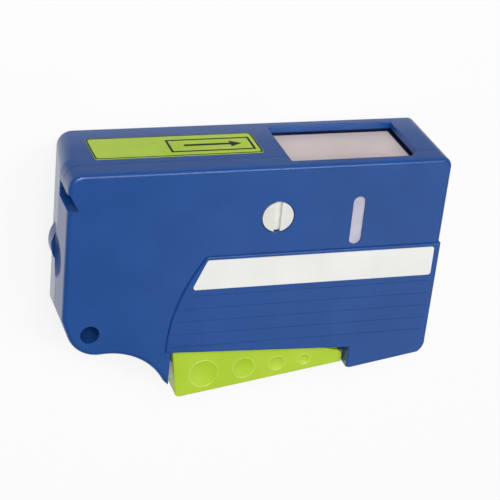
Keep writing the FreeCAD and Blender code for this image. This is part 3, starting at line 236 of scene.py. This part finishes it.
# warm grey plate of the shutter
shutterPlastic = {
    "dark": linear(212, 197, 195), "light": linear(222, 207, 205), "roughness": 0.3, "specular": 0.5,
    "mottleScale": 50.0, "grainScale": 5200.0, "grainDepth": 0.02 * mm, "grainStrength": 0.1,
    "glossSpread": 0.05,
}
dress(["shutter_panel"], mouldedPlastic("shutterGrey", shutterPlastic))

# slide that carries it, coloured dark navy as painted shade in the gaps round the shutter plate
slideShadePlastic = {
    "dark": linear(22, 26, 54), "light": linear(28, 32, 64), "roughness": 0.45, "specular": 0.4,
    "mottleScale": 90.0, "grainScale": 4200.0, "grainDepth": 0.02 * mm, "grainStrength": 0.12,
    "glossSpread": 0.05,
}
dress(["shutter"], mouldedPlastic("slidePaintedShade", slideShadePlastic))

# milky insert of the level slot
windowPlastic = {
    "dark": linear(190, 188, 206), "light": linear(202, 200, 216), "roughness": 0.25, "specular": 0.5,
    "mottleScale": 220.0, "grainScale": 5200.0, "grainDepth": 0.01 * mm, "grainStrength": 0.08,
    "glossSpread": 0.04,
}
dress(["slot_window"], mouldedPlastic("slotWindow", windowPlastic))

# white strip on the grip panel
stripFilm = {
    "dark": linear(240, 240, 236), "light": linear(246, 246, 242), "roughness": 0.3, "specular": 0.5,
    "mottleScale": 70.0, "grainScale": 2600.0, "grainDepth": 0.01 * mm, "grainStrength": 0.08,
    "glossSpread": 0.04,
}
dress(["front_strip"], mouldedPlastic("stripFilm", stripFilm))

# lime film of the label
labelFilm = {
    "dark": linear(176, 208, 50), "light": linear(184, 214, 62), "roughness": 0.34, "specular": 0.5,
    "mottleScale": 90.0, "grainScale": 2600.0, "grainDepth": 0.01 * mm, "grainStrength": 0.08,
    "glossSpread": 0.04,
}
dress(["top_label"], mouldedPlastic("labelFilm", labelFilm))

# pins, screws and spring
steel = {
    "dark": linear(168, 168, 170), "light": linear(190, 190, 192), "roughness": 0.3, "specular": 0.5,
    "metallic": 1.0, "mottleScale": 400.0, "grainScale": 6000.0, "grainDepth": 0.01 * mm,
    "grainStrength": 0.1, "glossSpread": 0.06,
}
steelMaterial = mouldedPlastic("drawnSteel", steel)
dress(["lever_pin", "plate_screws", "guide_pins"], steelMaterial)

# felt brake under the supply reel
felt = {
    "dark": linear(60, 60, 62), "light": linear(92, 92, 94), "roughness": 0.9, "specular": 0.2,
    "mottleScale": 1500.0, "grainScale": 5000.0, "grainDepth": 0.1 * mm, "grainStrength": 0.5,
    "glossSpread": 0.05,
}
dress(["brake_felt"], mouldedPlastic("brakeFelt", felt))

# rolls of wound tape
rollCloth = {
    "dark": linear(200, 200, 196), "light": linear(232, 232, 228), "roughness": 0.85, "specular": 0.2,
    "turnScale": 900.0, "turnWaver": 0.4, "turnDepth": 0.04 * mm, "turnStrength": 0.5,
}
for roll in ("take_up_roll", "supply_roll"):
    dress([roll], woundCloth(roll + "Cloth", rollCloth, roll))
print("materials done")


# dark band along the label's edge, printed frame and arrow on the label, seen from above: across is +X, back
# to front is +Z
label = {
    "lift": 0.02 * mm, "edgeInset": 0.08 * mm, "edgeWidth": 0.5 * mm, "edgeRound": 1.0 * mm,
    "frameLeft": -25.3 * mm, "frameRight": 0.35 * mm, "frameBack": 10.8 * mm, "frameFront": 19.4 * mm,
    "frameWidth": 0.75 * mm, "frameRound": 0.15 * mm, "cornerSteps": 6,
    "arrowTail": -20.45 * mm, "arrowTip": -2.85 * mm, "arrowLevel": 14.95 * mm, "arrowShaft": 1.25 * mm,
    "headLength": 3.6 * mm, "headWidth": 4.0 * mm,
}
printInk = {
    "dark": linear(14, 18, 14), "light": linear(24, 28, 22), "roughness": 0.42, "specular": 0.4,
    "mottleScale": 300.0, "grainScale": 3000.0, "grainDepth": 0.01 * mm, "grainStrength": 0.08,
    "glossSpread": 0.05,
}
inkMaterial = mouldedPlastic("printInk", printInk)
labelLow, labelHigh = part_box("top_label")


def roundedLoop(left, right, back, front, radius):
    # rectangle with quarter-circle corners
    quarter = np.linspace(0, np.pi / 2, label["cornerSteps"])
    middles = ((right - radius, front - radius), (left + radius, front - radius),
               (left + radius, back + radius), (right - radius, back + radius))
    loop = []
    for count, (x, z) in enumerate(middles):
        angle = quarter + count * np.pi / 2
        loop.append(np.stack([x + radius * np.cos(angle), z + radius * np.sin(angle)], axis=1))
    return np.concatenate(loop)


def printFlat(name, flat, faces):
    # flat figure lifted off the label
    level = np.full(len(flat), labelHigh.y + label["lift"])
    points = np.stack([flat[:, 0], level, flat[:, 1]], axis=1)
    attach(meshPiece(name, points, faces, inkMaterial), "case")


def printRing(name, loop, width):
    # band between a loop and the same loop moved in by the width
    centre = (loop.max(axis=0) + loop.min(axis=0)) / 2
    half = (loop.max(axis=0) - loop.min(axis=0)) / 2
    inner = centre + (loop - centre) * (half - width) / half
    count = len(loop)
    index = np.arange(count)
    following = (index + 1) % count
    faces = np.stack([index, index + count, following + count, following], axis=1).tolist()
    printFlat(name, np.concatenate([loop, inner]), faces)


# dark band along the label's outer edge
edgeLoop = roundedLoop(labelLow.x + label["edgeInset"], labelHigh.x - label["edgeInset"],
                       labelLow.z + label["edgeInset"], labelHigh.z - label["edgeInset"], label["edgeRound"])
printRing("label_edge", edgeLoop, label["edgeWidth"])
frameLoop = roundedLoop(label["frameLeft"], label["frameRight"], label["frameBack"], label["frameFront"],
                        label["frameRound"])
printRing("label_frame", frameLoop, label["frameWidth"])
# arrow: four corners of the shaft, then three of the head
headStart = label["arrowTip"] - label["headLength"]
shaftHalf = label["arrowShaft"] / 2
headHalf = label["headWidth"] / 2
arrow = np.array([
    (label["arrowTail"], -shaftHalf), (label["arrowTail"], shaftHalf), (headStart, shaftHalf),
    (headStart, -shaftHalf), (headStart, headHalf), (label["arrowTip"], 0), (headStart, -headHalf),
])
printFlat("label_arrow", arrow + (0, label["arrowLevel"]), [[0, 1, 2, 3], [4, 5, 6]])
print("label printed")


# thin moulded rims round the four dimples of the lever, their lime lighter than the lever's as painted
# highlight: across, along and radius of each in mm
dimpleRims = {
    "tube": 0.15 * mm, "sink": 0.04 * mm, "around": 64, "section": 10,
    "places": ((-12.83, -31.0, 4.55), (-0.16, -30.15, 3.5), (10.44, -29.4, 2.45), (19.26, -28.8, 1.85)),
}
# painted highlight: the rims are coloured a lighter lime than the lever so they read as lit edges
rimHighlightLime = {
    "dark": linear(206, 232, 104), "light": linear(214, 238, 118), "roughness": 0.3, "specular": 0.5,
    "mottleScale": 80.0, "grainScale": 3600.0, "grainDepth": 0.02 * mm, "grainStrength": 0.1,
    "glossSpread": 0.04,
}
rimHighlightMaterial = mouldedPlastic("rimPaintedHighlight", rimHighlightLime)
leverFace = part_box("lever")[1].z - dimpleRims["sink"]


def ringPoints(x, y, radius):
    # torus: circle of the tube's radius carried round a circle in the lever's face
    around, section = np.meshgrid(
        np.linspace(0, fullTurn, dimpleRims["around"], endpoint=False),
        np.linspace(0, fullTurn, dimpleRims["section"], endpoint=False), indexing="ij")
    reach = radius + dimpleRims["tube"] * np.cos(section)
    return np.stack([x + reach * np.cos(around), y + reach * np.sin(around),
                     leverFace + dimpleRims["tube"] * np.sin(section)], axis=-1).reshape(-1, 3)


rimFaces = gridFaces(dimpleRims["around"], dimpleRims["section"], closedRows=True, closedColumns=True)
for count, place in enumerate(dimpleRims["places"], 1):
    rimPoints = ringPoints(*(size * mm for size in place))
    rim = meshPiece(f"dimple_rim_{count}", rimPoints, rimFaces, rimHighlightMaterial)
    closeForm(rim, True)
    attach(rim, "lever")
print("dimple rims done")


# leaf spring: hooked over the heel's wall, free end on the lever's skin
spring = {
    "outer": ((34.75, -24.7), (34.75, -20.9), (32.05, -20.9), (0.05, -33.07)),
    "inner": ((34.15, -24.7), (34.15, -21.5), (32.05, -21.5), (0.05, -33.67)),
    "back": 9.0 * mm, "front": 20.0 * mm, "steps": 16,
    "bendFrom": (32.05 * mm, -21.2 * mm, 14.5 * mm), "bendTo": (0.05 * mm, -33.4 * mm, 14.5 * mm),
}


def leafLine(corners):
    # straight runs between the corners in mm, each cut into equal steps
    corners = np.array(corners) * mm
    share = np.linspace(0, 1, spring["steps"], endpoint=False)[:, None]
    runs = [start + (end - start) * share for start, end in zip(corners, corners[1:])]
    return np.concatenate(runs + [corners[-1:]])


# strip: its four-cornered section carried along both lines of the leaf
outerLine = leafLine(spring["outer"])
innerLine = leafLine(spring["inner"])
springEdges = [(outerLine, spring["back"]), (innerLine, spring["back"]),
               (innerLine, spring["front"]), (outerLine, spring["front"])]
springPoints = np.stack([np.column_stack([line, np.full(len(line), z)]) for line, z in springEdges], axis=1)
springEnd = len(springEdges) * (len(outerLine) - 1)
springCaps = [[0, 1, 2, 3], [springEnd + 3, springEnd + 2, springEnd + 1, springEnd]]
springFaces = gridFaces(len(outerLine), len(springEdges), closedColumns=True) + springCaps
springPiece = meshPiece("spring_leaf", springPoints.reshape(-1, 3), springFaces, steelMaterial)
closeForm(springPiece, False)
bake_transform(springPiece)
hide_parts("lever_spring")
print("spring done")


# wiping tape: one cloth from the full roll over both rollers to the wound-up roll
tape = {
    "gap": 0.3 * mm, "thickness": 0.25 * mm, "arcSteps": 20, "runSteps": 12, "widthSteps": 9,
    "circles": ("supply_roll", "guide_roller_right", "guide_roller_left", "take_up_roll"),
}
tapeCloth = {
    "dark": linear(206, 206, 202), "light": linear(236, 236, 232), "roughness": 0.85, "specular": 0.2,
    "threadScale": 900.0, "threadDepth": 0.04 * mm, "threadStrength": 0.5,
}
tapeOffset = tape["gap"] + tape["thickness"] / 2


def onCircle(centre, radius, angle):
    # point of the tape's middle at an angle round one roll or roller
    return centre + (radius + tapeOffset) * np.stack([np.cos(angle), np.sin(angle)], axis=-1)


def tapeLine(circles):
    # outer tangents of neighbouring circles, joined by arcs round the circle between them
    share = np.linspace(0, 1, tape["runSteps"])[:, None]
    arcShare = np.linspace(0, 1, tape["arcSteps"])[1:-1]
    parts = []
    lastNormal = None
    for (start, startRadius), (finish, finishRadius) in zip(circles, circles[1:]):
        run = finish - start
        lean = math.acos((startRadius - finishRadius) / np.hypot(*run))
        normal = math.atan2(run[1], run[0]) - lean
        if lastNormal is not None:
            swing = (normal - lastNormal) % fullTurn
            parts.append(onCircle(start, startRadius, lastNormal + swing * arcShare))
        leave = onCircle(start, startRadius, normal)
        arrive = onCircle(finish, finishRadius, normal)
        parts.append(leave + (arrive - leave) * share)
        lastNormal = normal
    return np.concatenate(parts)


# cloth: the line carried across the tape's width, with its UV in metres along and across
tapeLow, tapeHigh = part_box("cleaning_tape")
tapeRun = tapeLine([circleOf(node) for node in tape["circles"]])
tapeAlong = np.concatenate([[0], np.cumsum(np.hypot(*np.diff(tapeRun, axis=0).T))])
tapeAcross = np.linspace(tapeLow.z, tapeHigh.z, tape["widthSteps"])
tapeLevels = np.tile(tapeAcross, len(tapeRun))
tapePoints = np.column_stack([np.repeat(tapeRun, len(tapeAcross), axis=0), tapeLevels])
tapePiece = meshPiece("tape_cloth", tapePoints, gridFaces(len(tapeRun), len(tapeAcross)),
                      wovenCloth("tapeCloth", tapeCloth))
tapeUV = np.column_stack([np.repeat(tapeAlong, len(tapeAcross)), tapeLevels])
corner = np.empty(len(tapePiece.data.loops), int)
tapePiece.data.loops.foreach_get("vertex_index", corner)
tapePiece.data.uv_layers.new(name="cloth").data.foreach_set("uv", tapeUV[corner].ravel())
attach(tapePiece, "case")
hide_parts("cleaning_tape")
print("tape done")


# foam pad behind the tape: superellipsoid filling its block, sides nearly flat, edges soft
foam = {"square": 0.22, "around": 96, "rise": 48}
padFoam = {
    "dark": linear(44, 44, 46), "light": linear(62, 62, 64), "roughness": 0.8, "specular": 0.25,
    "mottleScale": 2200.0, "grainScale": 5200.0, "grainDepth": 0.08 * mm, "grainStrength": 0.5,
    "glossSpread": 0.05,
}
foamLow, foamHigh = (np.array(corner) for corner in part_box("cleaning_pad"))


def flattened(wave):
    # sign of the wave times its size to a small power
    return np.sign(wave) * np.abs(wave) ** foam["square"]


foamTurn, foamTilt = np.meshgrid(np.linspace(-np.pi, np.pi, foam["around"], endpoint=False),
                                 np.linspace(-np.pi / 2, np.pi / 2, foam["rise"]), indexing="ij")
foamReach = flattened(np.cos(foamTilt))
foamUnit = np.stack([foamReach * flattened(np.cos(foamTurn)), foamReach * flattened(np.sin(foamTurn)),
                     flattened(np.sin(foamTilt))], axis=-1)
foamPoints = ((foamLow + foamHigh) / 2 + (foamHigh - foamLow) / 2 * foamUnit).reshape(-1, 3)
foamPiece = meshPiece("pad_foam", foamPoints, gridFaces(foam["around"], foam["rise"], closedRows=True),
                      mouldedPlastic("padFoam", padFoam))
closeForm(foamPiece, True)
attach(foamPiece, "case")
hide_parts("cleaning_pad")
print("pad done")


# studio: white floor and surround, broad soft lights, camera of the photograph
studio = {
    "floorSize": 6.0, "floorDrop": 0.0002, "floorWhite": 0.9, "floorGlow": 0.84,
    "shadeFrom": 0.036, "shadeTo": 0.046, "shadeLevel": 0.35, "horizon": 0.05, "zenith": 0.2,
    "lights": {
        "key": {"place": (-0.2, 0.64, 1.22), "size": 0.6, "power": 13.3},
        "fill": {"place": (0.85, -0.6, 1.1), "size": 0.9, "power": 1.6},
        "rim": {"place": (0.43, 0.46, 1.25), "size": 0.34, "power": 3.4},
    },
    "lightTarget": (0, 0, 0.01), "lens": 128.829, "sensor": 36.0,
    "cameraPlace": (-0.161407, 0.250418, 0.470107),
    "cameraRight": (0.9512954, 0.09054255, 0.29468477),
    "cameraUp": (0.05833398, 0.88575953, -0.46046412),
    "cameraBack": (-0.30271144, 0.45522754, 0.83733725),
}
floorSquare = np.array([(-1, -1), (1, -1), (1, 1), (-1, 1)]) * studio["floorSize"] / 2
floorPoints = np.column_stack([floorSquare, np.full(len(floorSquare), -studio["floorDrop"])])
floorMesh = bpy.data.meshes.new("floor")
floorMesh.from_pydata(floorPoints.tolist(), [], [(0, 1, 2, 3)])
floor = bpy.data.objects.new("floor", floorMesh)
bpy.context.scene.collection.objects.link(floor)

# floor: white diffuse with the object's shadow, blended with white for camera, glossy and transmission rays
floorMaterial = bpy.data.materials.new("floorWhite")
floorMaterial.use_nodes = True
floorMesh.materials.append(floorMaterial)
floorTree = floorMaterial.node_tree
floorShader = floorTree.nodes["Principled BSDF"]
floorShader.inputs["Base Color"].default_value = (studio["floorWhite"],) * 3 + (1.0,)
floorShader.inputs["Roughness"].default_value = 1.0
floorShader.inputs["Specular IOR Level"].default_value = 0.0
rays = floorTree.nodes.new("ShaderNodeLightPath")


def floorMath(operation, *sources):
    # one step of arithmetic on two sources, each a socket or a plain number
    step = floorTree.nodes.new("ShaderNodeMath")
    step.operation = operation
    for socket, source in zip(step.inputs, sources):
        if isinstance(source, float):
            socket.default_value = source
        else:
            floorTree.links.new(source, socket)
    return step.outputs[0]


reflected = floorMath("MAXIMUM", rays.outputs["Is Glossy Ray"], rays.outputs["Is Transmission Ray"])
cameraShare = floorMath("MULTIPLY", rays.outputs["Is Camera Ray"], studio["floorGlow"])
# painted shade: the floor seen in reflections is darker just behind the object, standing in for its shadow
# there
floorPlace = floorTree.nodes.new("ShaderNodeTexCoord")
floorSplit = floorTree.nodes.new("ShaderNodeSeparateXYZ")
floorTree.links.new(floorPlace.outputs["Object"], floorSplit.inputs["Vector"])
shade = floorTree.nodes.new("ShaderNodeMapRange")
shade.inputs["From Min"].default_value = studio["shadeFrom"]
shade.inputs["From Max"].default_value = studio["shadeTo"]
shade.inputs["To Min"].default_value = 0.0
shade.inputs["To Max"].default_value = 1.0 - studio["shadeLevel"]
floorTree.links.new(floorSplit.outputs["Y"], shade.inputs["Value"])
glow = floorTree.nodes.new("ShaderNodeEmission")
glowStrength = floorMath("SUBTRACT", 1.0, floorMath("MULTIPLY", shade.outputs["Result"], reflected))
floorTree.links.new(glowStrength, glow.inputs["Strength"])
floorBlend = floorTree.nodes.new("ShaderNodeMixShader")
floorTree.links.new(floorMath("MAXIMUM", cameraShare, reflected), floorBlend.inputs["Fac"])
floorTree.links.new(floorShader.outputs["BSDF"], floorBlend.inputs[1])
floorTree.links.new(glow.outputs["Emission"], floorBlend.inputs[2])
floorTree.links.new(floorBlend.outputs["Shader"], floorTree.nodes["Material Output"].inputs["Surface"])

# surround: dim at the horizon, brighter overhead
world = bpy.data.worlds.new("surround")
bpy.context.scene.world = world
world.use_nodes = True
worldTree = world.node_tree
background = worldTree.nodes["Background"]
background.inputs["Color"].default_value = (1, 1, 1, 1)
skyPlace = worldTree.nodes.new("ShaderNodeTexCoord")
skySplit = worldTree.nodes.new("ShaderNodeSeparateXYZ")
skyRise = worldTree.nodes.new("ShaderNodeMapRange")
skyRise.inputs["To Min"].default_value = studio["horizon"]
skyRise.inputs["To Max"].default_value = studio["zenith"]
worldTree.links.new(skyPlace.outputs["Generated"], skySplit.inputs["Vector"])
worldTree.links.new(skySplit.outputs["Z"], skyRise.inputs["Value"])
worldTree.links.new(skyRise.outputs["Result"], background.inputs["Strength"])

# soft square lights aimed at the object
for name, light in studio["lights"].items():
    lamp = bpy.data.lights.new(name, "AREA")
    lamp.shape = "SQUARE"
    lamp.size = light["size"]
    lamp.energy = light["power"]
    lampItem = bpy.data.objects.new(name, lamp)
    lampItem.location = light["place"]
    aim = np.array(studio["lightTarget"]) - np.array(light["place"])
    lean = math.atan2(math.hypot(aim[0], aim[1]), -aim[2])
    lampItem.rotation_euler = (lean, 0, math.atan2(aim[1], aim[0]) - math.pi / 2)
    bpy.context.scene.collection.objects.link(lampItem)

cameraData = bpy.data.cameras.new("camera")
cameraData.lens = studio["lens"]
cameraData.sensor_width = studio["sensor"]
camera = bpy.data.objects.new("camera", cameraData)
cameraAxes = np.array([studio["cameraRight"], studio["cameraUp"], studio["cameraBack"]]).T
camera.matrix_world = Matrix.Translation(studio["cameraPlace"]) @ Matrix(cameraAxes.tolist()).to_4x4()
bpy.context.scene.collection.objects.link(camera)
bpy.context.scene.camera = camera
bpy.context.scene.view_settings.view_transform = "Standard"
print("studio done")
